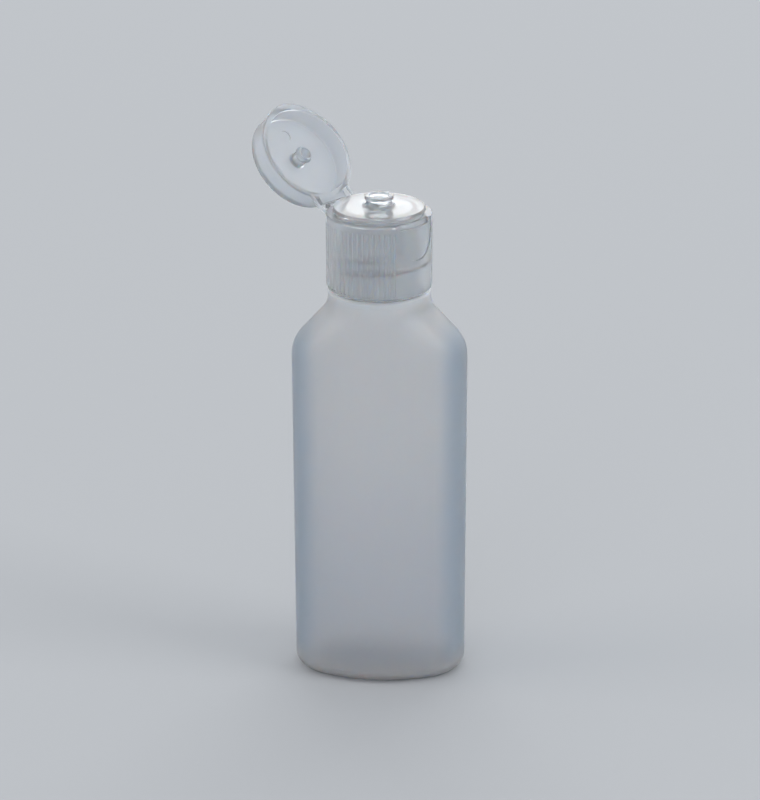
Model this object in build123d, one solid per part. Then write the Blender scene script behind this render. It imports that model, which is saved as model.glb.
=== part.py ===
from build123d import *
import os
from math import cos, radians, sin, sqrt, tan

os.makedirs("parts", exist_ok=True)

# Oval plastic bottle with a screw closure and a flip lid.
# Millimetres, +Z up, X across the wide side.
# The origin is the centre of the base, on the surface that it stands on.

# Body
BODY_WIDTH = 40.5
BODY_DEPTH = 25.5
OVAL_END_ANGLE = 66.7
BOTTLE_WALL = 0.9
HEEL_RADIUS = 3.4

# Shoulder, drawn in from the oval body to the round neck root
SHOULDER_TILT = 42.8
SHOULDER_ROUND = 8.0
SHOULDER_SWEEP = 6.0
SHOULDER_CROWN = 7.0
SHOULDER_LEAD = 3.0

# Pushed-up base
STANDING_RING = 1.6
PUSH_UP_HEIGHT = 3.0
PUSH_UP_TOP_WIDTH = 9.0
PUSH_UP_TOP_DEPTH = 3.6

# Neck
NECK_ROOT_SETBACK = 0.35
NECK_ROOT_TOP = 95.3
NECK_ROOT_HEIGHT = 1.5
NECK_ROOT_EDGE = 0.5
NECK_WALL = 1.25
NECK_HEIGHT = 13.9
NECK_LIP_EDGE = 0.3

# Screw thread, right-handed
THREAD_PITCH = 3.175
THREAD_DEPTH = 0.95
THREAD_CREST_GAP = 0.3
THREAD_CREST_WIDTH = 0.6
THREAD_FLANK_ANGLE = 27.5
THREAD_TURNS = 1.5
THREAD_END_DROP = 2.2
THREAD_END_AZIMUTH = 0
THREAD_FLANK_GAP = 0.2
THREAD_ROOTING = 0.15
CAP_THREAD_CREST_GAP = 0.25
CAP_THREAD_CREST_WIDTH = 0.5
CAP_THREAD_TURNS = 1.25

# Closure skirt
CAP_RADIUS = 12.05
SKIRT_WALL = 2.05
SKIRT_GAP = 0.5
SKIRT_FOOT_EDGE = 0.6
SEAT_EDGE = 0.25
SEAT_THICKNESS = 0.9
RIB_COUNT = 64
RIB_GROOVE_RADIUS = 0.34
RIB_GROOVE_DEPTH = 0.16
RIB_TOP_MARGIN = 1.7
RIB_FOOT_MARGIN = 0.9

# Thumb recess in the skirt and the notch above it
THUMB_HALF_WIDTH = 5.7
THUMB_HEIGHT = 8.8
THUMB_DEPTH = 0.4
THUMB_NOTCH_HALF_WIDTH = 4.6
THUMB_NOTCH_DEPTH = 1.0
THUMB_NOTCH_HEIGHT = 1.2

# Deck and nozzle
DECK_SETBACK = 1.69
DECK_RISE = 1.47
DECK_THICKNESS = 1.1
DECK_EDGE = 0.15
SNAP_BEAD_REACH = 0.22
SNAP_BEAD_DROP = 0.6
SNAP_BEAD_HALF_HEIGHT = 0.35
NOZZLE_HEIGHT = 2.55
NOZZLE_LIP_RADIUS = 3.3
NOZZLE_LIP_HEIGHT = 0.8
NOZZLE_LIP_SLOPE = 0.35
NOZZLE_LIP_EDGE = 0.25
NOZZLE_WAIST_RADIUS = 2.95
NOZZLE_FOOT_FLARE = 1.15
NOZZLE_BORE_RADIUS = 2.15
NOZZLE_BORE_EDGE = 0.45
SEAL_WALL_THICKNESS = 1.3
SEAL_WALL_HEIGHT = 2.3
GASKET_THICKNESS = 0.8
GASKET_SETBACK = 0.1

# Lid
LID_BEAD_GAP = 0.26
LID_DRAFT = 0.12
LID_INNER_DEPTH = 4.51
LID_TOP_THICKNESS = 0.9
LID_TOP_EDGE = 0.8
LID_CORNER = 0.3
LID_SEAT_GAP = 0.08
PIN_RADIUS = 1.75
PIN_LENGTH = 3.7
PIN_FOOT = 0.3
PIN_BEAD_CLEARANCE = 0.07
PIN_BEAD_HEIGHT = 1.0
PIN_BEAD_SLOPE = 0.6
PIN_TIP_RADIUS = 1.7
PIN_HOLE_RADIUS = 1.3
PIN_HOLE_DEPTH = 2.9
GATE_MARK_RADIUS = 1.35
GATE_MARK_OFFSET = 6.4
GATE_MARK_SIDESTEP = 0.5
GATE_MARK_DEPTH = 0.2
THUMB_LIP_REACH = 0.45
THUMB_LIP_HEIGHT = 1.3
THUMB_LIP_RADIUS = 9.5
THUMB_LIP_ROOTING = 0.3
THUMB_LIP_EDGE = 0.4

# Living hinge between the closure and the lid
HINGE_AZIMUTH = 141.6
HINGE_REACH = 1.3
HINGE_AXIS_DROP = 0.19
LID_OPEN_ANGLE = 130.2
LAND_HALF_WIDTH = 3.9
LAND_THICKNESS = 0.95
LAND_ROOTING = 0.1
FOLD_HALF_GAP = 0.4
FILM_THICKNESS = 0.3
FILM_HALF_WIDTH = 5.9
STRAP_WIDTH = 1.0
STRAP_DROP = 0.8
STRAP_CONTACT_GAP = 0.02

# How far a cutting form runs past what it cuts
CUT_MARGIN = 1.0

# Places worked out from the sizes
HALF_WIDTH = BODY_WIDTH / 2
HALF_DEPTH = BODY_DEPTH / 2
CAP_BORE_RADIUS = CAP_RADIUS - SKIRT_WALL
THREAD_CREST_RADIUS = CAP_BORE_RADIUS - THREAD_CREST_GAP
NECK_RADIUS = THREAD_CREST_RADIUS - THREAD_DEPTH
NECK_BORE_RADIUS = NECK_RADIUS - NECK_WALL
NECK_ROOT_RADIUS = CAP_RADIUS - NECK_ROOT_SETBACK
CAP_THREAD_CREST_RADIUS = NECK_RADIUS + CAP_THREAD_CREST_GAP
DECK_RADIUS = CAP_RADIUS - DECK_SETBACK
LID_INNER_RADIUS = DECK_RADIUS + SNAP_BEAD_REACH + LID_BEAD_GAP
LID_FLOOR_RADIUS = LID_INNER_RADIUS - LID_DRAFT
SHOULDER_TOP = NECK_ROOT_TOP - NECK_ROOT_HEIGHT
NECK_TOP = NECK_ROOT_TOP + NECK_HEIGHT
GASKET_TOP = NECK_TOP + GASKET_THICKNESS
GASKET_INNER_RADIUS = NECK_BORE_RADIUS + GASKET_SETBACK
SKIRT_FOOT = NECK_ROOT_TOP + SKIRT_GAP
SEAT = GASKET_TOP + SEAL_WALL_HEIGHT + SEAT_THICKNESS
DECK = SEAT + DECK_RISE
NOZZLE_TOP = DECK + NOZZLE_HEIGHT
HINGE_AXIS_RADIUS = CAP_RADIUS + HINGE_REACH
HINGE_Z = SEAT - HINGE_AXIS_DROP
LID_SEAT = SEAT + LID_SEAT_GAP
LID_FLOOR = LID_SEAT + LID_INNER_DEPTH
LID_TOP = LID_FLOOR + LID_TOP_THICKNESS
PIN_TIP = LID_FLOOR - PIN_LENGTH
PIN_BEAD_RADIUS = NOZZLE_BORE_RADIUS - PIN_BEAD_CLEARANCE
FLANK = tan(radians(THREAD_FLANK_ANGLE))
THREAD_START = NECK_TOP - THREAD_END_DROP - THREAD_PITCH * THREAD_TURNS
THREAD_START_AZIMUTH = THREAD_END_AZIMUTH - 360 * THREAD_TURNS
LAND_INNER = LID_INNER_RADIUS + LAND_ROOTING
LAND_OUTER = HINGE_AXIS_RADIUS - FOLD_HALF_GAP
TO_HINGE_SIDE = Rot(0, 0, HINGE_AZIMUTH)


def outline(points, rounds=(), bevels=()):
    """Closed outline in the radius-height plane; rounds and bevels list (corner, size) pairs."""
    face = make_face(Polyline(*points, close=True))
    for point, radius in rounds:
        corner = face.vertices().sort_by_distance(Vector(*point, 0))[0]
        face = fillet(corner, radius)
    for point, length in bevels:
        corner = face.vertices().sort_by_distance(Vector(*point, 0))[0]
        face = chamfer(corner, length)
    return Plane.XZ * face


def turned(points, rounds=(), bevels=()):
    """Solid of revolution about the bottle's axis."""
    return revolve(outline(points, rounds, bevels), Axis.Z)


def ring(inner, outer, low, high):
    """Plain ring about the bottle's axis."""
    return turned([(inner, low), (outer, low), (outer, high), (inner, high)])


def rod(radius, low, high):
    """Plain cylinder on the bottle's axis."""
    upright = (Align.CENTER, Align.CENTER, Align.MIN)
    return Pos(0, 0, low) * Cylinder(radius, high - low, align=upright)


def oval(half_width, half_depth):
    """Oval of four tangent arcs, of which the two end arcs meet the long ones at a set angle."""
    angle = radians(OVAL_END_ANGLE)
    spread = (half_width - half_depth) / (cos(angle) + sin(angle) - 1)
    end_radius = half_width - spread * cos(angle)
    side_radius = end_radius + spread
    end = half_width - end_radius
    side = half_depth - side_radius
    long_arc = 180 - 2 * OVAL_END_ANGLE
    arcs = [
        CenterArc((end, 0), end_radius, -OVAL_END_ANGLE, 2 * OVAL_END_ANGLE),
        CenterArc((0, side), side_radius, OVAL_END_ANGLE, long_arc),
        CenterArc((-end, 0), end_radius, 180 - OVAL_END_ANGLE, 2 * OVAL_END_ANGLE),
        CenterArc((0, -side), side_radius, 180 + OVAL_END_ANGLE, long_arc),
    ]
    return make_face(Wire(arcs))


def shoulder_line():
    """Front view of a shoulder as (height, distance drawn in) pairs, from the body up."""
    tilt = radians(SHOULDER_TILT)
    total = HALF_WIDTH - NECK_ROOT_RADIUS
    straight = total - (SHOULDER_ROUND + SHOULDER_SWEEP) * (1 - cos(tilt))
    height = (SHOULDER_ROUND + SHOULDER_SWEEP) * sin(tilt) + straight / tan(tilt)
    foot = SHOULDER_TOP - height
    turns = [tilt * share for share in (0, 1 / 3, 2 / 3, 1)]
    rounded = [(foot + SHOULDER_ROUND * sin(turn), SHOULDER_ROUND * (1 - cos(turn))) for turn in turns]
    swept = [
        (SHOULDER_TOP - SHOULDER_SWEEP * sin(turn), total - SHOULDER_SWEEP * (1 - cos(turn)))
        for turn in reversed(turns)
    ]
    middle = ((rounded[-1][0] + swept[0][0]) / 2, (rounded[-1][1] + swept[0][1]) / 2)
    return [(foot - SHOULDER_LEAD, 0), (foot - SHOULDER_LEAD / 2, 0)] + rounded + [middle] + swept


def shoulder_form(inset):
    """Shoulder from the oval body up to the round neck root, moved in by a wall."""
    line = shoulder_line()
    foot = line[0][0]
    sections = []
    for height, drawn_in in line:
        share = ((height - foot) / (SHOULDER_TOP - foot)) ** SHOULDER_CROWN
        half_width = HALF_WIDTH - drawn_in - inset
        half_depth = HALF_DEPTH - (HALF_DEPTH - NECK_ROOT_RADIUS) * share - inset
        sections.append(Pos(0, 0, height) * oval(half_width, half_depth))
    return loft(sections)


def body_form(inset):
    """The blown body from its standing plane to the top of its neck root, moved in by a wall."""
    foot = shoulder_line()[0][0]
    section = oval(HALF_WIDTH - inset, HALF_DEPTH - inset)
    prism = extrude(Pos(0, 0, inset) * section, foot - inset)
    heel = prism.faces().sort_by(Axis.Z)[0].edges()
    body = fillet(heel, HEEL_RADIUS - inset) + shoulder_form(inset)
    return body + rod(NECK_ROOT_RADIUS - inset, SHOULDER_TOP, NECK_ROOT_TOP - inset)


def push_up(low):
    """Cone-like dome under the base, from an oval at height low up to a small flat."""
    edge = HEEL_RADIUS + STANDING_RING
    foot = oval(HALF_WIDTH - edge, HALF_DEPTH - edge)
    top = oval(PUSH_UP_TOP_WIDTH / 2, PUSH_UP_TOP_DEPTH / 2)
    return loft([Pos(0, 0, low) * foot, Pos(0, 0, low + PUSH_UP_HEIGHT) * top], ruled=True)


def thread_ridge(root_radius, crest_radius, crest_width, turns, start):
    """Helical ridge on a root cylinder, outwards or inwards to its crest."""
    side = 1 if crest_radius > root_radius else -1
    root = root_radius - side * THREAD_ROOTING
    half_crest = crest_width / 2
    half_root = half_crest + abs(crest_radius - root) * FLANK
    section = outline(
        [(root, -half_root), (crest_radius, -half_crest), (crest_radius, half_crest), (root, half_root)]
    )
    path = Helix(THREAD_PITCH, THREAD_PITCH * turns, root)
    return Pos(0, 0, start) * Rot(0, 0, THREAD_START_AZIMUTH) * sweep(section, path, is_frenet=True)


def neck_tube():
    """Plain tube of the neck, solid, from inside the neck root up to its rounded lip."""
    low = NECK_ROOT_TOP - BOTTLE_WALL
    points = [(0, low), (NECK_RADIUS, low), (NECK_RADIUS, NECK_TOP), (0, NECK_TOP)]
    return turned(points, bevels=[((NECK_RADIUS, NECK_TOP), NECK_LIP_EDGE)])


def make_bottle():
    """Blown bottle: oval body, stepped neck root, threaded neck and pushed-up base."""
    outside = body_form(0)
    outside = chamfer(outside.edges().group_by(Axis.Z)[-1], NECK_ROOT_EDGE)
    outside += neck_tube()
    outside += thread_ridge(
        NECK_RADIUS, THREAD_CREST_RADIUS, THREAD_CREST_WIDTH, THREAD_TURNS, THREAD_START
    )
    inside = body_form(BOTTLE_WALL) - push_up(BOTTLE_WALL)
    inside += rod(NECK_BORE_RADIUS, SHOULDER_TOP, NECK_TOP)
    return outside - push_up(0) - inside


def make_gasket():
    """Soft sealing ring on the neck's top edge."""
    return ring(GASKET_INNER_RADIUS, NECK_RADIUS, NECK_TOP, GASKET_TOP)


def closure_shell():
    """Skirt, lid seat, raised deck, nozzle and inner seal wall, as one turned form."""
    lip_low = NOZZLE_TOP - NOZZLE_LIP_HEIGHT
    bead = DECK - SNAP_BEAD_DROP
    seal_outer = GASKET_INNER_RADIUS + SEAL_WALL_THICKNESS
    points = [
        (CAP_BORE_RADIUS, SKIRT_FOOT),
        (CAP_RADIUS, SKIRT_FOOT),
        (CAP_RADIUS, SEAT),
        (DECK_RADIUS, SEAT),
        (DECK_RADIUS, bead - SNAP_BEAD_HALF_HEIGHT),
        (DECK_RADIUS + SNAP_BEAD_REACH, bead),
        (DECK_RADIUS, bead + SNAP_BEAD_HALF_HEIGHT),
        (DECK_RADIUS, DECK),
        (NOZZLE_WAIST_RADIUS, DECK),
        (NOZZLE_WAIST_RADIUS, lip_low - NOZZLE_LIP_SLOPE),
        (NOZZLE_LIP_RADIUS, lip_low),
        (NOZZLE_LIP_RADIUS, NOZZLE_TOP),
        (NOZZLE_BORE_RADIUS, NOZZLE_TOP),
        (NOZZLE_BORE_RADIUS, DECK - DECK_THICKNESS),
        (GASKET_INNER_RADIUS, DECK - DECK_THICKNESS),
        (GASKET_INNER_RADIUS, GASKET_TOP),
        (seal_outer, GASKET_TOP),
        (seal_outer, SEAT - SEAT_THICKNESS),
        (CAP_BORE_RADIUS, SEAT - SEAT_THICKNESS),
    ]
    rounds = [
        ((CAP_RADIUS, SKIRT_FOOT), SKIRT_FOOT_EDGE),
        ((NOZZLE_WAIST_RADIUS, DECK), NOZZLE_FOOT_FLARE),
        ((NOZZLE_LIP_RADIUS, NOZZLE_TOP), NOZZLE_LIP_EDGE),
        ((NOZZLE_BORE_RADIUS, NOZZLE_TOP), NOZZLE_BORE_EDGE),
    ]
    bevels = [((CAP_RADIUS, SEAT), SEAT_EDGE), ((DECK_RADIUS, DECK), DECK_EDGE)]
    return turned(points, rounds, bevels)


def thumb_cut(half_width, depth, low, round_foot):
    """Recess on the side away from the hinge, of even depth under the skirt's surface."""
    reach = CAP_RADIUS + CUT_MARGIN
    foot = low + half_width if round_foot else low
    high = SEAT + CUT_MARGIN
    window = Pos(-reach / 2, 0, (foot + high) / 2) * Box(reach, 2 * half_width, high - foot)
    if round_foot:
        window += Pos(-reach / 2, 0, foot) * Rot(0, 90, 0) * Cylinder(half_width, reach)
    return window - rod(CAP_RADIUS - depth, low - CUT_MARGIN, high + CUT_MARGIN)


def rib_grooves():
    """Fine upright grooves round the skirt, left out of the thumb recess."""
    low = SKIRT_FOOT + RIB_FOOT_MARGIN
    high = SEAT - RIB_TOP_MARGIN
    centre = CAP_RADIUS + RIB_GROOVE_RADIUS - RIB_GROOVE_DEPTH
    groove = Pos(centre, 0, 0) * rod(RIB_GROOVE_RADIUS, low, high)
    pitch = 360 / RIB_COUNT
    grooves = []
    for index in range(RIB_COUNT):
        azimuth = (index + 0.5) * pitch
        side_step = abs(CAP_RADIUS * sin(radians(azimuth)))
        faces_thumb = cos(radians(azimuth)) < 0
        if not (faces_thumb and side_step < THUMB_HALF_WIDTH + RIB_GROOVE_RADIUS):
            grooves.append(Rot(0, 0, azimuth) * groove)
    return grooves


def hinge_land(low, high):
    """Flat lug that stands out from a wall up to the fold."""
    length = LAND_OUTER - LAND_INNER
    middle = (LAND_OUTER + LAND_INNER) / 2
    return Pos(middle, 0, (low + high) / 2) * Box(length, 2 * LAND_HALF_WIDTH, high - low)


def make_cap_base():
    """Moulded screw closure with ribs, thumb recess, nozzle, hinge land and inside thread."""
    cap = closure_shell() + hinge_land(SEAT - LAND_THICKNESS, SEAT)
    cap -= thumb_cut(THUMB_HALF_WIDTH, THUMB_DEPTH, SEAT - THUMB_HEIGHT, True)
    cap -= thumb_cut(THUMB_NOTCH_HALF_WIDTH, THUMB_NOTCH_DEPTH, SEAT - THUMB_NOTCH_HEIGHT, False)
    cap -= rib_grooves()
    engaged = THREAD_CREST_RADIUS - CAP_THREAD_CREST_RADIUS
    half_widths = (THREAD_CREST_WIDTH + CAP_THREAD_CREST_WIDTH) / 2 + engaged * FLANK
    start = THREAD_START - half_widths - THREAD_FLANK_GAP / cos(radians(THREAD_FLANK_ANGLE))
    thread = thread_ridge(
        CAP_BORE_RADIUS, CAP_THREAD_CREST_RADIUS, CAP_THREAD_CREST_WIDTH, CAP_THREAD_TURNS, start
    )
    return TO_HINGE_SIDE * cap + thread


def lid_opened(shape):
    """Swings a closed lid shape about the hinge axis to where it stands open."""
    axis = Axis((HINGE_AXIS_RADIUS, 0, HINGE_Z), (0, 1, 0))
    return shape.rotate(axis, LID_OPEN_ANGLE)


def lid_shell():
    """Shallow cup with its hollow plug pin, closed, as one turned form."""
    bead = PIN_TIP + PIN_BEAD_HEIGHT
    points = [
        (0, LID_TOP),
        (CAP_RADIUS, LID_TOP),
        (CAP_RADIUS, LID_SEAT),
        (LID_INNER_RADIUS, LID_SEAT),
        (LID_FLOOR_RADIUS, LID_FLOOR),
        (PIN_RADIUS, LID_FLOOR),
        (PIN_RADIUS, bead + PIN_BEAD_SLOPE),
        (PIN_BEAD_RADIUS, bead),
        (PIN_TIP_RADIUS, PIN_TIP),
        (PIN_HOLE_RADIUS, PIN_TIP),
        (PIN_HOLE_RADIUS, PIN_TIP + PIN_HOLE_DEPTH),
        (0, PIN_TIP + PIN_HOLE_DEPTH),
    ]
    rounds = [((CAP_RADIUS, LID_TOP), LID_TOP_EDGE), ((LID_FLOOR_RADIUS, LID_FLOOR), LID_CORNER)]
    bevels = [((CAP_RADIUS, LID_SEAT), SEAT_EDGE), ((PIN_RADIUS, LID_FLOOR), PIN_FOOT)]
    return turned(points, rounds, bevels)


def thumb_lip():
    """Low crescent on the lid's rim, on the side away from the hinge."""
    offset = CAP_RADIUS + THUMB_LIP_REACH - THUMB_LIP_RADIUS
    high = LID_SEAT + THUMB_LIP_HEIGHT
    disc = Pos(-offset, 0, 0) * rod(THUMB_LIP_RADIUS, LID_SEAT, high)
    disc = chamfer(disc.edges().group_by(Axis.Z)[-1], THUMB_LIP_EDGE)
    return disc - rod(CAP_RADIUS - THUMB_LIP_ROOTING, LID_SEAT - CUT_MARGIN, high + CUT_MARGIN)


def make_lid():
    """Moulded flip lid with plug pin, thumb lip, gate mark and hinge land, standing open."""
    land_low = LID_SEAT
    lid = lid_shell() + thumb_lip() + hinge_land(land_low, land_low + LAND_THICKNESS)
    gate_mark = Pos(-GATE_MARK_OFFSET, -GATE_MARK_SIDESTEP, 0) * rod(
        GATE_MARK_RADIUS, LID_FLOOR - GATE_MARK_DEPTH, LID_FLOOR + GATE_MARK_DEPTH
    )
    return TO_HINGE_SIDE * lid_opened(lid - gate_mark)


def opened_point(x, z):
    """Where a point of the closed lid lies once the lid stands open, in the hinge's plane."""
    swing = radians(LID_OPEN_ANGLE)
    out, up = x - HINGE_AXIS_RADIUS, z - HINGE_Z
    return (
        HINGE_AXIS_RADIUS + out * cos(swing) + up * sin(swing),
        HINGE_Z - out * sin(swing) + up * cos(swing),
    )


def hinge_band(inner, drop, low_side, high_side):
    """Thin band over the fold, from the closure, a drop below its rim, to the same on the lid."""
    half = FILM_THICKNESS / 2
    level = HINGE_Z - drop
    lid_level = LID_SEAT + STRAP_CONTACT_GAP + drop
    points = [
        (inner, level - half),
        (inner, level + half),
        (HINGE_AXIS_RADIUS, HINGE_Z + half),
        opened_point(inner, lid_level),
        opened_point(inner, lid_level + FILM_THICKNESS),
        (HINGE_AXIS_RADIUS, HINGE_Z - half),
    ]
    return Pos(0, high_side, 0) * extrude(outline(points), high_side - low_side)


def make_living_hinge():
    """Thin film along the fold with a taut strap at each end, bent as the open lid bends it."""
    film = hinge_band(LAND_OUTER, 0, -FILM_HALF_WIDTH, FILM_HALF_WIDTH)
    strap_side = FILM_HALF_WIDTH - STRAP_WIDTH
    strap_inner = sqrt(CAP_RADIUS**2 - FILM_HALF_WIDTH**2)
    straps = hinge_band(strap_inner, STRAP_DROP, strap_side, FILM_HALF_WIDTH)
    straps += hinge_band(strap_inner, STRAP_DROP, -FILM_HALF_WIDTH, -strap_side)
    wall = CAP_RADIUS + STRAP_CONTACT_GAP
    straps -= rod(wall, SKIRT_FOOT, SEAT)
    straps -= lid_opened(rod(wall, SEAT - FILM_THICKNESS, LID_TOP))
    return TO_HINGE_SIDE * (film + straps)


PIECES = {
    "bottle": make_bottle,
    "sealing_gasket": make_gasket,
    "cap_base": make_cap_base,
    "living_hinge": make_living_hinge,
    "lid": make_lid,
}

for name, make in PIECES.items():
    export_step(make(), f"parts/{name}.step")
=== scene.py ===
"""Looks of an oval plastic bottle with a screw closure and a flip lid, standing open."""

import logging
import math
from dataclasses import dataclass
from enum import Enum
from typing import Callable, Optional, Union

import bmesh
import bpy
from mathutils import Matrix, Vector


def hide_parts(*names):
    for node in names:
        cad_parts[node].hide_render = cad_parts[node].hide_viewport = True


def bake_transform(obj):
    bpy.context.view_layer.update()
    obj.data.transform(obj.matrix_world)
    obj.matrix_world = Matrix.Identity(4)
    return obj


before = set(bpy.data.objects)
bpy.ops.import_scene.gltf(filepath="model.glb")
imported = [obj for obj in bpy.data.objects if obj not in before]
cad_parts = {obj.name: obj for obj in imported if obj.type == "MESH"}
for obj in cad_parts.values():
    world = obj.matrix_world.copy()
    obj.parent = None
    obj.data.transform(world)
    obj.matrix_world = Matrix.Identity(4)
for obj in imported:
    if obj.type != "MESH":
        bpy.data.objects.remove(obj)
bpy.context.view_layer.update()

LOG = logging.getLogger("bottle")
MM = 0.001
TOUCH = 0.01 * MM
ROUND_SEGMENTS = 2
ROUND_ANGLE = math.radians(40)
SMOOTH_ANGLE = math.radians(30)
PLASTIC_IOR = 1.5
SCATTER_TINT = (1.0, 0.8, 0.65)

Colour = tuple[float, float, float, float]


def grey(level: float) -> Colour:
    """A neutral colour of a linear level, with full alpha."""
    return (level, level, level, 1.0)


class Body(Enum):
    """The moving bodies that the hinge joins."""

    CLOSURE = "closure"
    LID = "lid"


class Value:
    """One output of a shader node, with arithmetic that adds Math nodes."""

    def __init__(self, sheet: "NodeSheet", socket: bpy.types.NodeSocket) -> None:
        """Wraps a socket of a sheet."""
        self.sheet = sheet
        self.socket = socket

    def _math(self, operation: str, first: "Number", second: "Number" = 0.0) -> "Value":
        """Adds a Math node on one or two values."""
        settings = {"operation": operation}
        return self.sheet.node("ShaderNodeMath", settings, {0: first, 1: second})

    def __add__(self, other: "Number") -> "Value":
        """Sum."""
        return self._math("ADD", self, other)

    def __radd__(self, other: "Number") -> "Value":
        """Sum with a number on the left."""
        return self._math("ADD", other, self)

    def __sub__(self, other: "Number") -> "Value":
        """Difference."""
        return self._math("SUBTRACT", self, other)

    def __rsub__(self, other: "Number") -> "Value":
        """Difference with a number on the left."""
        return self._math("SUBTRACT", other, self)

    def __mul__(self, other: "Number") -> "Value":
        """Product."""
        return self._math("MULTIPLY", self, other)

    def __rmul__(self, other: "Number") -> "Value":
        """Product with a number on the left."""
        return self._math("MULTIPLY", other, self)

    def __abs__(self) -> "Value":
        """Size without the sign."""
        return self._math("ABSOLUTE", self)

    def step(self, low: float, high: float) -> "Value":
        """Smooth step from 0 at low to 1 at high.

        Args:
            low: Where the result is 0.
            high: Where the result is 1, which may lie below low.

        Returns:
            The smooth step.
        """
        settings = {"interpolation_type": "SMOOTHSTEP"}
        ends = (low, high, 0.0, 1.0) if low < high else (high, low, 1.0, 0.0)
        inputs = {0: self, 1: ends[0], 2: ends[1], 3: ends[2], 4: ends[3]}
        return self.sheet.node("ShaderNodeMapRange", settings, inputs)


Number = Union[Value, float]
Output = Union[int, str, None]
Input = Union[Value, float, tuple]


class NodeSheet:
    """The node tree of one material."""

    def __init__(self, name: str) -> None:
        """Makes a material with an empty tree.

        Args:
            name: The material's name.
        """
        self.material = bpy.data.materials.new(name)
        self.material.use_nodes = True
        self.tree = self.material.node_tree
        self.tree.nodes.clear()

    def node(
        self, kind: str, settings: dict, inputs: dict, output: Output = 0
    ) -> Optional[Value]:
        """Adds any node.

        Args:
            kind: The node's type.
            settings: Properties that are set before its sockets.
            inputs: Values or links by socket name or index.
            output: The output that the result wraps, or None at the end of a tree.

        Returns:
            The chosen output.
        """
        made = self.tree.nodes.new(kind)
        for key, setting in settings.items():
            setattr(made, key, setting)
        for key, given in inputs.items():
            if isinstance(given, Value):
                self.tree.links.new(given.socket, made.inputs[key])
            else:
                made.inputs[key].default_value = given
        return None if output is None else Value(self, made.outputs[output])

    def place(self) -> Value:
        """The point on the object, in metres."""
        return self.node("ShaderNodeTexCoord", {}, {}, "Object")

    def axes(self, point: Value) -> tuple[Value, Value, Value]:
        """Splits a point into its X, Y and Z.

        Args:
            point: The point to split.

        Returns:
            Its three parts.
        """
        x = self.node("ShaderNodeSeparateXYZ", {}, {0: point}, 0)
        parts = x.socket.node.outputs
        return x, Value(self, parts[1]), Value(self, parts[2])

    def noise(
        self, point: Value, scale: float, detail: float = 2.0, stretch: tuple = (1, 1, 1)
    ) -> Value:
        """Soft noise about 0.5.

        Args:
            point: Where it is read.
            scale: Lumps to a metre.
            detail: Octaves.
            stretch: Multiplies each axis before the noise is read.

        Returns:
            The noise value.
        """
        settings = {"operation": "MULTIPLY"}
        moved = self.node("ShaderNodeVectorMath", settings, {0: point, 1: stretch})
        inputs = {"Vector": moved, "Scale": scale, "Detail": detail}
        return self.node("ShaderNodeTexNoise", {}, inputs, 0)

    def mix(self, factor: Number, first: Input, second: Input) -> Value:
        """Mixes two colours.

        Args:
            factor: 0 gives the first, 1 the second.
            first: Colour at 0.
            second: Colour at 1.

        Returns:
            The mixed colour.
        """
        settings = {"data_type": "RGBA"}
        return self.node("ShaderNodeMix", settings, {0: factor, 6: first, 7: second}, 2)

    def bump(self, height: Value, distance: float) -> Value:
        """Turns a height of about 0 to 1 into a normal, at a distance in metres for 1."""
        inputs = {"Strength": 1.0, "Distance": distance, "Height": height}
        return self.node("ShaderNodeBump", {}, inputs)

    def finish(self, shader: Value) -> bpy.types.Material:
        """Links the shader to the surface.

        Args:
            shader: The finished shader.

        Returns:
            The material.
        """
        self.node("ShaderNodeOutputMaterial", {}, {"Surface": shader}, None)
        return self.material


def dress(piece: bpy.types.Object, material: bpy.types.Material) -> None:
    """Gives every slot of a piece one material.

    Args:
        piece: The piece to dress.
        material: What it gets.
    """
    if not piece.data.materials:
        piece.data.materials.append(material)
    for slot in piece.material_slots:
        slot.material = material


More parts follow.
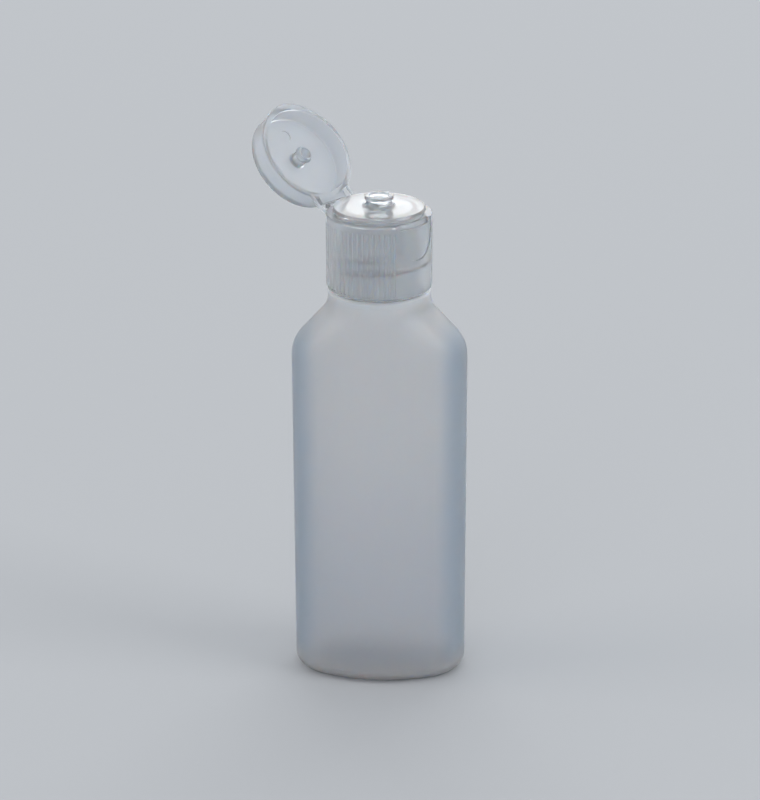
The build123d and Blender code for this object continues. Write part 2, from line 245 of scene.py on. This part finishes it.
@dataclass(frozen=True)
class BottlePlastic:
    """Milky satin plastic of the blown body, thinner and clearer towards its narrow ends.

    Its colour also holds painted light and shade: the narrow ends are bluer and darker, partly
    for their thinner wall and partly as painted shade of edges seen at a slant; the lower body is
    painted darker as shade; a warm, lighter band at the base rim is painted light; and the top
    under the closure is whiter, partly for its thicker milky wall and partly as painted light.
    """

    name: str = "bottle_plastic"
    thick: Colour = (0.93, 0.935, 0.95, 1.0)
    # Colour of the top under the closure: whiter partly for its thicker milky wall and partly as
    # painted light where little light reaches under the closure.
    neck_milk_and_light: Colour = (0.93, 0.96, 0.99, 1.0)
    # Painted shade: the body grows darker and bluer towards its bottom.
    foot: Colour = (0.80, 0.825, 0.87, 1.0)
    # Bluer colour of the thinner wall, and painted shade at the narrow ends where their edges are
    # seen at a slant.
    thin: Colour = (0.62, 0.72, 0.82, 1.0)
    # Painted light: a warm, lighter band at the base rim.
    heel_light: Colour = (0.98, 0.92, 0.89, 1.0)
    roughness: float = 0.33
    transmission: float = 0.76
    neck_transmission: float = 0.3
    subsurface: float = 0.9
    scatter: float = 4 * MM
    streak_scale: float = 180.0
    streak_stretch: float = 0.06
    cloud_scale: float = 70.0
    grain_scale: float = 900.0
    peel: float = 3e-6
    end_thin_and_shade_share: float = 0.85
    uneven_share: float = 0.5
    heel_light_share: float = 0.85
    haze_spread: float = 0.06
    seam_height: float = 5.0

    def make(self, shape: "Bottle") -> bpy.types.Material:
        """Builds the material.

        Args:
            shape: The bottle, which knows where its wall is thick or thin and where light and
                shade are painted on it.

        Returns:
            The material.
        """
        sheet = NodeSheet(self.name)
        point = sheet.place()
        x, y, z = sheet.axes(point)
        stretch = (1, 1, self.streak_stretch)
        streaks = sheet.noise(point, self.streak_scale, stretch=stretch)
        clouds = sheet.noise(point, self.cloud_scale)
        uneven = 0.5 * streaks + 0.5 * clouds - 0.5
        # Narrow ends: thinner wall there, and painted shade of edges seen at a slant.
        ends = abs(x).step(shape.end_from, shape.end_to)
        # Painted shade: darker and bluer towards the bottom.
        colour = sheet.mix(z.step(shape.foot_shade_from, 0.0), self.thick, self.foot)
        thinness_and_edge_shade = self.end_thin_and_shade_share * ends + self.uneven_share * uneven
        # Random tone and the narrow ends, whose colour is partly painted edge shade.
        colour = sheet.mix(thinness_and_edge_shade, colour, self.thin)
        # Painted light: a warm, lighter band at the base rim.
        colour = sheet.mix(self.heel_light_share * z.step(shape.heel_light_height, 0.0), colour, self.heel_light)
        seam_line = abs(y).step(shape.seam_outer, shape.seam_inner)
        seam = seam_line * abs(x).step(shape.seam_from, shape.seam_to)
        grain = sheet.noise(point, self.grain_scale)
        inputs = {
            "Base Color": colour,
            "Roughness": self.roughness + self.haze_spread * uneven,
            "Normal": sheet.bump(grain + self.seam_height * seam, self.peel),
            "IOR": PLASTIC_IOR,
            "Transmission Weight": self.transmission,
            "Subsurface Weight": self.subsurface,
            "Subsurface Radius": SCATTER_TINT,
            "Subsurface Scale": self.scatter,
        }
        body = sheet.node("ShaderNodeBsdfPrincipled", {}, inputs)
        # Painted light in part: the top under the closure gets a whiter colour where little light
        # reaches.
        inputs["Base Color"] = self.neck_milk_and_light
        inputs["Transmission Weight"] = self.neck_transmission
        neck_milk_and_light = sheet.node("ShaderNodeBsdfPrincipled", {}, inputs)
        share = z.step(shape.neck_from, shape.neck_to)
        both = sheet.node("ShaderNodeMixShader", {}, {0: share, 1: body, 2: neck_milk_and_light})
        return sheet.finish(both)


@dataclass(frozen=True)
class ClosurePlastic:
    """Clearer, glossier plastic of the moulded closure and lid, mirror-smooth on the deck."""

    name: str = "closure_plastic"
    dense: Colour = (0.90, 0.945, 0.985, 1.0)
    thin: Colour = (0.94, 0.97, 0.995, 1.0)
    roughness: float = 0.1
    polish: float = 0.06
    transmission: float = 0.84
    subsurface: float = 0.9
    scatter: float = 3 * MM
    cloud_scale: float = 150.0
    flow_scale: float = 90.0
    flow_stretch: float = 0.3
    haze_spread: float = 0.06
    polish_blend: float = 0.2 * MM
    ripple_scale: float = 500.0
    ripple: float = 1e-6

    def make(self, polished_above: float) -> bpy.types.Material:
        """Builds the material.

        Args:
            polished_above: Height from which the faces have a mirror polish.

        Returns:
            The material.
        """
        sheet = NodeSheet(self.name)
        point = sheet.place()
        _, _, z = sheet.axes(point)
        clouds = sheet.noise(point, self.cloud_scale)
        flow = sheet.noise(point, self.flow_scale, stretch=(1, 1, self.flow_stretch))
        polished = z.step(polished_above - self.polish_blend, polished_above)
        haze = self.roughness + self.haze_spread * (clouds - 0.5)
        inputs = {
            "Base Color": sheet.mix(0.5 * clouds + 0.5 * flow, self.dense, self.thin),
            "Roughness": haze - (self.roughness - self.polish) * polished,
            "Normal": sheet.bump(sheet.noise(point, self.ripple_scale), self.ripple),
            "IOR": PLASTIC_IOR,
            "Transmission Weight": self.transmission,
            "Subsurface Weight": self.subsurface,
            "Subsurface Radius": SCATTER_TINT,
            "Subsurface Scale": self.scatter,
        }
        return sheet.finish(sheet.node("ShaderNodeBsdfPrincipled", {}, inputs))


LID_PLASTIC = ClosurePlastic(
    name="lid_plastic",
    dense=(0.83, 0.87, 0.925, 1.0),
    thin=(0.885, 0.92, 0.96, 1.0),
    roughness=0.13,
    transmission=0.74,
)


@dataclass(frozen=True)
class GasketFoam:
    """White foamed liner ring."""

    name: str = "gasket_foam"
    pale: Colour = grey(0.82)
    shade: Colour = grey(0.72)
    cell_scale: float = 4000.0
    cell_detail: float = 3.0
    cell_depth: float = 2e-5
    roughness: float = 0.7
    roughness_spread: float = 0.1
    subsurface: float = 0.3
    scatter: float = MM

    def make(self) -> bpy.types.Material:
        """Builds the material.

        Returns:
            The material.
        """
        sheet = NodeSheet(self.name)
        cells = sheet.noise(sheet.place(), self.cell_scale, self.cell_detail)
        inputs = {
            "Base Color": sheet.mix(cells, self.shade, self.pale),
            "Roughness": self.roughness + self.roughness_spread * cells,
            "Normal": sheet.bump(cells, self.cell_depth),
            "Subsurface Weight": self.subsurface,
            "Subsurface Scale": self.scatter,
        }
        return sheet.finish(sheet.node("ShaderNodeBsdfPrincipled", {}, inputs))


@dataclass
class Bottle:
    """Blown body, with the places where its wall changes, where light and shade are painted on it
    and where its seam runs.
    """

    # Where the narrow ends begin: thinner wall, and painted edge shade.
    end_from: float = 13.0 * MM
    end_to: float = 18.5 * MM
    # Height from which painted shade darkens the body towards its bottom.
    foot_shade_from: float = 80.0 * MM
    # Height up to which painted light warms and lightens the base rim.
    heel_light_height: float = 8.0 * MM
    neck_from: float = 92.0 * MM
    neck_to: float = 95.5 * MM
    seam_inner: float = 0.03 * MM
    seam_outer: float = 0.12 * MM
    seam_from: float = 9.0 * MM
    seam_to: float = 10.0 * MM
    plastic: BottlePlastic = BottlePlastic()

    def build(self) -> bpy.types.Object:
        """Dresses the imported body.

        Returns:
            The dressed body.
        """
        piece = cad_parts["bottle"]
        dress(piece, self.plastic.make(self))
        return piece


@dataclass
class Closure:
    """Screw closure with the soft ring that it carries."""

    deck_height: float = 113.3 * MM
    plastic: ClosurePlastic = ClosurePlastic()
    foam: GasketFoam = GasketFoam()

    def build(self) -> bpy.types.Object:
        """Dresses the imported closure.

        Returns:
            The dressed closure.
        """
        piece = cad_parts["cap_base"]
        dress(piece, self.plastic.make(self.deck_height))
        return piece

    def build_gasket(self) -> bpy.types.Object:
        """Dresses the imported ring.

        Returns:
            The dressed ring.
        """
        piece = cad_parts["sealing_gasket"]
        dress(piece, self.foam.make())
        return piece


@dataclass
class Lid:
    """Flip lid, all of one polish, so its limit lies far above it."""

    polished_above: float = 1.0
    plastic: ClosurePlastic = LID_PLASTIC

    def build(self) -> bpy.types.Object:
        """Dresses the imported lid.

        Returns:
            The dressed lid.
        """
        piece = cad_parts["lid"]
        dress(piece, self.plastic.make(self.polished_above))
        return piece


class Pick(Enum):
    """What an edit-mode selection is made of."""

    FACES = "FACE"
    EDGES = "EDGE"


class Workpiece:
    """A mesh that is shaped in edit mode, as by hand."""

    def __init__(self, name: str, middle: Vector, size: Vector) -> None:
        """Starts from a block.

        Args:
            name: The piece's name.
            middle: Where the block's middle is.
            size: Its length along each axis.
        """
        bpy.ops.object.select_all(action="DESELECT")
        bpy.ops.mesh.primitive_cube_add(size=1, location=middle)
        self.piece = bpy.context.active_object
        self.piece.name = name
        self.piece.scale = size
        bpy.ops.object.transform_apply(location=True, rotation=True, scale=True)

    def select(self, kind: Pick, test: Callable[[Vector], bool]) -> None:
        """Selects faces or edges by where their middles are, in edit mode.

        Args:
            kind: Faces or edges.
            test: Tells from a middle whether it is selected.
        """
        bpy.ops.mesh.select_mode(type=kind.value)
        bpy.ops.mesh.select_all(action="DESELECT")
        mesh = bmesh.from_edit_mesh(self.piece.data)
        if kind is Pick.FACES:
            for face in mesh.faces:
                face.select_set(test(face.calc_center_median()))
        else:
            for edge in mesh.edges:
                edge.select_set(test((edge.verts[0].co + edge.verts[1].co) / 2))
        bmesh.update_edit_mesh(self.piece.data)

    def round_edges(self, width: float) -> None:
        """Rounds all its sharp edges by an applied bevel.

        Args:
            width: Width of the rounds.
        """
        bevel = self.piece.modifiers.new("rounds", "BEVEL")
        bevel.width = width
        bevel.segments = ROUND_SEGMENTS
        bevel.limit_method = "ANGLE"
        bevel.angle_limit = ROUND_ANGLE
        bpy.context.view_layer.objects.active = self.piece
        bpy.ops.object.modifier_apply(modifier=bevel.name)


@dataclass
class LivingHinge:
    """Film and two taut straps that join the lid to the closure, bent as the open lid bends them.

    Its own frame has X from the bottle's axis out to the hinge and Y along the fold.
    """

    azimuth: float = 141.6
    axis_radius: float = 13.35 * MM
    axis_height: float = 113.01 * MM
    open_angle: float = 130.2
    half_gap: float = 0.4 * MM
    film_half_width: float = 3.88 * MM
    film_thickness: float = 0.3 * MM
    film_sweep: float = 1.35 * MM
    film_steps: int = 8
    rooting: float = 0.3 * MM
    strap_side: float = 5.75 * MM
    strap_width: float = 1.0 * MM
    strap_thickness: float = 0.38 * MM
    strap_root: float = 10.4 * MM
    strap_drop: float = 1.1 * MM
    strap_lid_rise: float = 0.34 * MM
    strap_bend: float = 0.5 * MM
    strap_bend_steps: int = 3
    edge_round: float = 0.06 * MM
    blend_rise: float = 0.49 * MM

    def bend(self) -> float:
        """How far the film turns between the lands, in radians."""
        return math.radians(180 - self.open_angle)

    def sweep_centre(self) -> Vector:
        """Where the planes of the two lands' end faces cross."""
        back = self.half_gap / math.tan(self.bend() / 2)
        return Vector((self.axis_radius - self.half_gap, 0, self.axis_height + back))

    def lid_side(self, out: float, up: float) -> Vector:
        """A point of the closed lid, from the fold, where the open lid carries it.

        Args:
            out: Distance outwards from the fold.
            up: Height over the fold.

        Returns:
            The point in the hinge's own frame.
        """
        swing = Matrix.Rotation(math.radians(self.open_angle), 3, "Y")
        return Vector((self.axis_radius, 0, self.axis_height)) + swing @ Vector((out, 0, up))

    def film(self) -> bpy.types.Object:
        """Thin web between the lands, spun through the fold.

        Returns:
            The film.
        """
        centre = self.sweep_centre()
        foot = Vector((centre.x - self.rooting / 2, 0, centre.z - self.film_sweep))
        size = Vector((self.rooting, 2 * self.film_half_width, self.film_thickness))
        work = Workpiece("living_hinge_film", foot, size)
        bpy.ops.object.mode_set(mode="EDIT")
        work.select(Pick.FACES, lambda middle: middle.x > centre.x - TOUCH)
        bpy.ops.mesh.spin(
            steps=self.film_steps, angle=-self.bend(), center=centre, axis=(0, 1, 0)
        )
        inwards = self.rooting * Vector((math.cos(self.bend()), 0, math.sin(self.bend())))
        bpy.ops.mesh.extrude_region_move(TRANSFORM_OT_translate={"value": inwards})
        bpy.ops.object.mode_set(mode="OBJECT")
        work.round_edges(self.edge_round)
        return work.piece

    def strap(self, side: float) -> bpy.types.Object:
        """Taut strap from the closure's wall over the fold to the lid's wall.

        Args:
            side: Where its middle lies along the fold.

        Returns:
            The strap.
        """
        fold = Vector((self.axis_radius, side, self.axis_height))
        root = Vector((self.strap_root, side, self.axis_height - self.strap_drop))
        out = self.strap_root - self.axis_radius
        far = self.lid_side(out, self.strap_lid_rise) + Vector((0, side, 0))
        size = Vector((fold.x - root.x, self.strap_width, self.strap_thickness))
        work = Workpiece("strap", (root + fold) / 2, size)
        bpy.ops.object.mode_set(mode="EDIT")
        work.select(Pick.FACES, lambda middle: middle.x < root.x + TOUCH)
        bpy.ops.transform.translate(value=(0, 0, (root.z - fold.z) / 2))
        work.select(Pick.FACES, lambda middle: middle.x > fold.x - TOUCH)
        bpy.ops.transform.translate(value=(0, 0, (fold.z - root.z) / 2))
        bpy.ops.mesh.extrude_region_move(TRANSFORM_OT_translate={"value": far - fold})
        work.select(Pick.EDGES, lambda middle: abs(middle.x - fold.x) < TOUCH)
        bpy.ops.mesh.bevel(offset=self.strap_bend, segments=self.strap_bend_steps)
        bpy.ops.object.mode_set(mode="OBJECT")
        work.round_edges(self.edge_round)
        return work.piece

    def build(self, plastic: bpy.types.Material) -> bpy.types.Object:
        """Builds the hinge, turns it into place, dresses it and smooths its shading.

        Args:
            plastic: The lid's plastic.

        Returns:
            The finished piece.
        """
        hinge = self.film()
        straps = [self.strap(self.strap_side), self.strap(-self.strap_side)]
        bpy.ops.object.select_all(action="DESELECT")
        for piece in [hinge, *straps]:
            piece.select_set(True)
        bpy.context.view_layer.objects.active = hinge
        bpy.ops.object.join()
        hinge.rotation_euler = (0, 0, math.radians(self.azimuth))
        bpy.ops.object.transform_apply(location=True, rotation=True, scale=True)
        bpy.ops.object.mode_set(mode="EDIT")
        bpy.ops.mesh.select_all(action="SELECT")
        bpy.ops.mesh.normals_make_consistent(inside=False)
        bpy.ops.object.mode_set(mode="OBJECT")
        bpy.ops.object.shade_smooth_by_angle(angle=SMOOTH_ANGLE)
        dress(hinge, plastic)
        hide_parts("living_hinge")
        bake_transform(hinge)
        return hinge


@dataclass(frozen=True)
class Softbox:
    """Soft lamp that faces the object, as bright as its level times a white face."""

    name: str
    place: tuple[float, float, float]
    width: float
    height: float
    level: float
    colour: tuple[float, float, float]

    def hang(self, aim_height: float) -> None:
        """Adds the lamp.

        Args:
            aim_height: Height of the point on the bottle's axis that it faces.
        """
        bpy.ops.object.light_add(type="AREA", location=self.place)
        lamp = bpy.context.active_object
        lamp.name = self.name
        lamp.data.shape = "RECTANGLE"
        lamp.data.size = self.width
        lamp.data.size_y = self.height
        lamp.data.energy = self.level * math.pi * self.width * self.height
        lamp.data.color = self.colour
        aim = Vector((0, 0, aim_height)) - Vector(self.place)
        lamp.rotation_euler = aim.to_track_quat("-Z", "Y").to_euler()


SOFTBOXES = (
    Softbox("back_softbox", (0.2, 3.2, 1.9), 4.4, 2.6, 1.5, (1.0, 0.985, 0.96)),
    Softbox("right_softbox", (2.27, -0.6, 1.92), 1.2, 1.2, 4.2, (1.0, 0.975, 0.94)),
    Softbox("left_softbox", (-2.5, -0.35, 1.7), 1.3, 1.3, 2.2, (1.0, 0.9, 0.8)),
    Softbox("front_fill", (-0.6, -3.2, 2.2), 2.4, 2.0, 0.8, (0.97, 0.985, 1.0)),
)


@dataclass
class Studio:
    """Pale floor, soft lamps and the camera at the photograph's angle."""

    floor_size: float = 30.0
    floor_roughness: float = 0.9
    floor_colour: Colour = (0.47, 0.49, 0.515, 1.0)
    world_colour: Colour = (0.97, 0.99, 1.02, 1.0)
    world_level: float = 0.75
    lens: float = 114.12
    distance: float = 587.77 * MM
    pitch: float = 21.689
    turn: float = 4.21
    roll: float = -0.16
    aim_side: float = 0.09 * MM
    aim_height: float = 67.58 * MM
    clip_start: float = 0.01
    clip_end: float = 40.0

    def floor(self) -> None:
        """Lays the floor under the object."""
        bpy.ops.mesh.primitive_plane_add(size=self.floor_size, location=(0, 0, 0))
        floor = bpy.context.active_object
        floor.name = "floor"
        sheet = NodeSheet("floor_paint")
        inputs = {
            "Base Color": self.floor_colour,
            "Roughness": self.floor_roughness,
            "Specular IOR Level": 0.0,
        }
        dress(floor, sheet.finish(sheet.node("ShaderNodeBsdfPrincipled", {}, inputs)))

    def world(self) -> None:
        """Sets the even light from all round."""
        world = bpy.data.worlds.new("studio")
        world.use_nodes = True
        background = world.node_tree.nodes["Background"]
        background.inputs["Color"].default_value = self.world_colour
        background.inputs["Strength"].default_value = self.world_level
        bpy.context.scene.world = world

    def camera(self) -> None:
        """Puts the camera where the photograph was taken from."""
        data = bpy.data.cameras.new("camera")
        data.lens = self.lens
        data.clip_start = self.clip_start
        data.clip_end = self.clip_end
        camera = bpy.data.objects.new("camera", data)
        bpy.context.scene.collection.objects.link(camera)
        turn = Matrix.Rotation(math.radians(self.turn), 4, "Z")
        tilt = Matrix.Rotation(math.radians(90 - self.pitch), 4, "X")
        roll = Matrix.Rotation(math.radians(self.roll), 4, "Z")
        aim = Matrix.Translation((self.aim_side, 0, self.aim_height))
        back = Matrix.Translation((0, 0, self.distance))
        camera.matrix_world = turn @ aim @ tilt @ roll @ back
        bpy.context.scene.camera = camera

    def build(self) -> None:
        """Builds the whole studio."""
        self.floor()
        self.world()
        for softbox in SOFTBOXES:
            softbox.hang(self.aim_height)
        self.camera()
        bpy.context.scene.view_settings.view_transform = "Standard"


def main() -> None:
    """Builds the looks and reports each piece."""
    logging.basicConfig(level=logging.INFO, format="%(name)s: %(message)s")
    closure = Closure()
    pieces = [Bottle().build(), closure.build(), closure.build_gasket(), Lid().build()]
    pieces.append(LivingHinge().build(pieces[-1].active_material))
    for piece in pieces:
        LOG.info("%s has %d faces", piece.name, len(piece.data.polygons))
    Studio().build()


if __name__ == "__main__":
    main()
